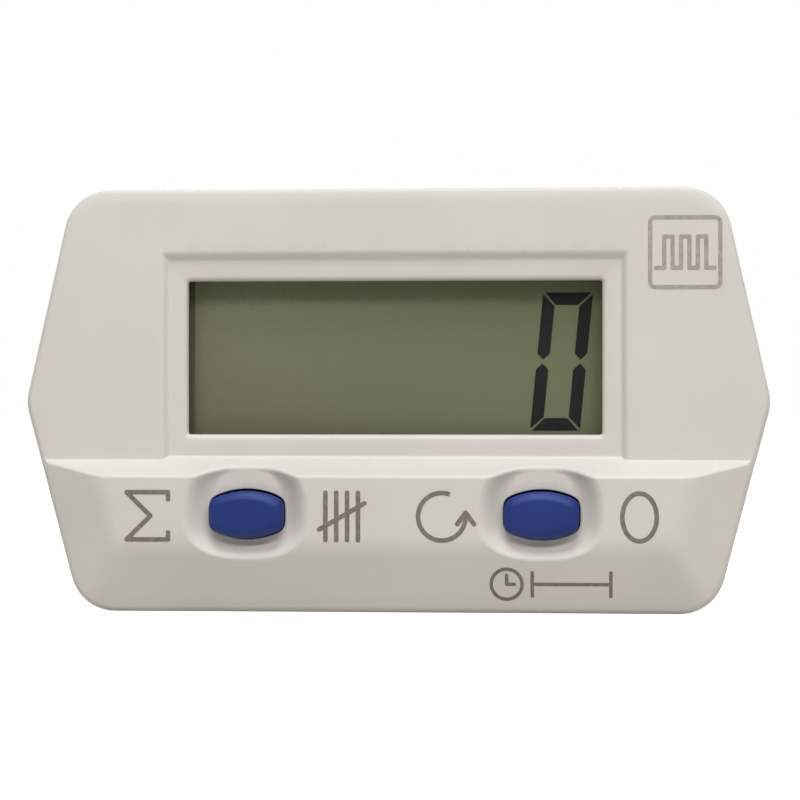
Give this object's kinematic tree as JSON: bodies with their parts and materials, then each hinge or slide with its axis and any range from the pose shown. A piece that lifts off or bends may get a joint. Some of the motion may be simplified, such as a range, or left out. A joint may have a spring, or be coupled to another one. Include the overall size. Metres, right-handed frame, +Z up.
{
  "type": "digital pulse counter",
  "caption": "Small wall or panel mounted pulse counter: six-sided ivory case, liquid crystal display, press buttons on a hipped ridge, twist cover over a coin cell.",
  "frame": {"origin": "under the middle of the case, halfway through its depth, on the plane of its bottom edge", "axes": "+X to the right as the display is read, +Y to the rear, +Z up"},
  "size_m": [0.072, 0.0208, 0.041],
  "materials": {
    "ivory_plastic": "fine moulded texture",
    "clear_lens": "clear and polished",
    "black_tape": "matt",
    "polariser_film": "satin",
    "display_glass": "polished",
    "reflector_film": "satin",
    "white_plastic": "matt",
    "grey_elastomer": "matt",
    "board_laminate": "satin solder resist",
    "black_moulding": "matt",
    "tinned_metal": "satin",
    "steel": "plated",
    "ceramic": "matt",
    "blue_plastic": "satin",
    "brass": "bright",
    "green_plastic": "satin",
    "black_rubber": "matt"
  },
  "bodies": {
    "case": {"front_cover": "ivory_plastic", "rear_cover": "ivory_plastic", "display_lens": "clear_lens", "lens_tape": "black_tape", "front_polariser": "polariser_film", "front_glass": "display_glass", "rear_glass": "display_glass", "reflector": "reflector_film", "display_frame": "white_plastic", "contact_strips": "grey_elastomer", "circuit_board": "board_laminate", "counter_chip": "black_moulding", "chip_leads": "tinned_metal", "timing_crystal": "steel", "chip_parts": "ceramic", "total_switch": "black_moulding", "reset_switch": "black_moulding", "switch_plates": "steel", "switch_legs": "tinned_metal", "cell_holder": "black_moulding", "coin_cell": "steel", "negative_leaf": "brass", "positive_spring": "brass", "input_terminal": "green_plastic", "terminal_clamps": "tinned_metal", "cable_inlet": "black_rubber", "mount_inserts": "brass", "case_screws": "steel", "board_screws": "steel"},
    "total_key": {"total_button": "blue_plastic", "total_plunger": "black_moulding"},
    "reset_key": {"reset_button": "blue_plastic", "reset_plunger": "black_moulding"},
    "twist_cover": {"cell_cover": "ivory_plastic"}
  },
  "joints": [
    {"name": "total_press", "type": "slide", "parent": "case", "child": "total_key", "axis": [0, 1, 0], "range_m": [0, 0.0005], "stiffness_N_per_m": 800},
    {"name": "reset_press", "type": "slide", "parent": "case", "child": "reset_key", "axis": [0, 1, 0], "range_m": [0, 0.0005], "stiffness_N_per_m": 800},
    {"name": "cover_twist", "type": "hinge", "parent": "case", "child": "twist_cover", "pos_m": [0, 0.01035, 0.022], "axis": [0, 1, 0], "range_deg": [0, 40]}
  ]
}
